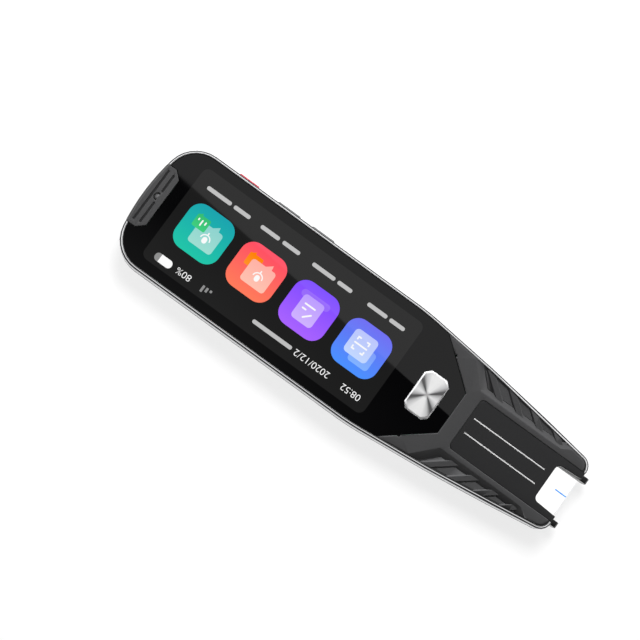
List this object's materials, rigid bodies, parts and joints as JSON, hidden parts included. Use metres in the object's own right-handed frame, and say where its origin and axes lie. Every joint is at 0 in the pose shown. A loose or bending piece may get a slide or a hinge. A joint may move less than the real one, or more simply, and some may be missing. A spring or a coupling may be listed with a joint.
{
  "type": "handheld translator",
  "caption": "Slim handheld scanning translator: long touch display, tapered ribbed tip with a notch and a sliding nib, rear camera, side keys and a hinged port flap.",
  "frame": {"origin": "on the flat of the back, on the centre plane, halfway between the tip of the nib and the port end", "axes": "+X from the scanning tip to the port end, +Y up on the display, +Z out of the display; the part lies on its back"},
  "size_m": [0.1578, 0.0421, 0.0143],
  "materials": {
    "shell_paint": "satin gunmetal lacquer",
    "frame_metal": "polished, satin on the side band",
    "cover_grey": "fine moulded texture",
    "panel_charcoal": "smooth satin, two pale printed lines",
    "grip_rubber": "soft touch, moulded ribs",
    "black_glass": "gloss, black ink behind the margin",
    "display": "emissive panel",
    "foil": "brushed foil",
    "board": "solder mask",
    "battery_foil": "laminated pouch foil",
    "black_plastic": "smooth satin",
    "black_gloss": "gloss",
    "plate_dark": "sandblasted and anodised dark grey",
    "clear_plastic": "clear",
    "smoked_pane": "smoked, gloss",
    "line_blue": "printed",
    "bright_steel": "bright",
    "button_metal": "turned and brushed",
    "key_red": "red anodised",
    "key_silver": "satin anodised",
    "mesh_black": "woven mesh",
    "flex_amber": "polyimide film"
  },
  "bodies": {
    "housing": {"back_shell": "shell_paint", "mid_frame": "frame_metal", "front_cover": "cover_grey", "tip_panel": "panel_charcoal", "left_grip": "grip_rubber", "right_grip": "grip_rubber", "cover_glass": "black_glass", "glass_tape": "black_plastic", "display_panel": "display", "display_backlight": "foil", "display_tray": "foil", "main_board": "board", "processor_shield": "foil", "memory_chip": "black_plastic", "radio_shield": "foil", "microphone_left": "foil", "microphone_right": "foil", "ok_switch": "bright_steel", "battery": "battery_foil", "speaker": "black_plastic", "speaker_mesh": "mesh_black", "camera_plate": "plate_dark", "camera_bezel": "black_gloss", "camera_lens": "black_gloss", "camera_module": "black_plastic", "window_bezel": "black_plastic", "scan_pane": "smoked_pane", "scan_camera": "black_plastic", "scan_board": "board", "scan_lamp_left": "clear_plastic", "scan_lamp_right": "clear_plastic", "nib_spring_left": "bright_steel", "nib_spring_right": "bright_steel", "nib_switch": "black_plastic", "aiming_window": "clear_plastic", "aiming_line": "line_blue", "record_switch": "black_plastic", "volume_up_switch": "black_plastic", "volume_down_switch": "black_plastic", "side_key_flex": "flex_amber", "usb_socket": "bright_steel", "usb_tongue": "black_plastic", "flap_hinge_pin": "bright_steel", "board_screw_1": "bright_steel", "board_screw_2": "bright_steel", "board_screw_3": "bright_steel", "board_screw_4": "bright_steel"},
    "nib": {"nib_frame": "black_plastic"},
    "ok_button": {"ok_button": "button_metal"},
    "record_key": {"record_key": "key_red"},
    "volume_up_key": {"volume_up_key": "key_silver"},
    "volume_down_key": {"volume_down_key": "key_silver"},
    "port_flap": {"port_flap": "cover_grey"}
  },
  "joints": [
    {"name": "port_flap_hinge", "type": "hinge", "parent": "housing", "child": "port_flap", "pos_m": [0.07805, 0, 0.00825], "axis": [0, 1, 0], "range_deg": [0, 105]},
    {"name": "nib_press", "type": "slide", "parent": "housing", "child": "nib", "axis": [1, 0, 0], "range_m": [0, 0.0009], "stiffness_N_per_m": 60, "springref_m": -0.001, "deforming": ["nib_spring_left", "nib_spring_right"]},
    {"name": "ok_press", "type": "slide", "parent": "housing", "child": "ok_button", "axis": [0, 0, -1], "range_m": [0, 0.0005], "stiffness_N_per_m": 100, "springref_m": -0.001},
    {"name": "record_key_press", "type": "slide", "parent": "housing", "child": "record_key", "axis": [0, 1, 0], "range_m": [0, 0.0005], "stiffness_N_per_m": 60, "springref_m": -0.001},
    {"name": "volume_up_key_press", "type": "slide", "parent": "housing", "child": "volume_up_key", "axis": [0, 1, 0], "range_m": [0, 0.0005], "stiffness_N_per_m": 60, "springref_m": -0.001},
    {"name": "volume_down_key_press", "type": "slide", "parent": "housing", "child": "volume_down_key", "axis": [0, 1, 0], "range_m": [0, 0.0005], "stiffness_N_per_m": 60, "springref_m": -0.001}
  ]
}
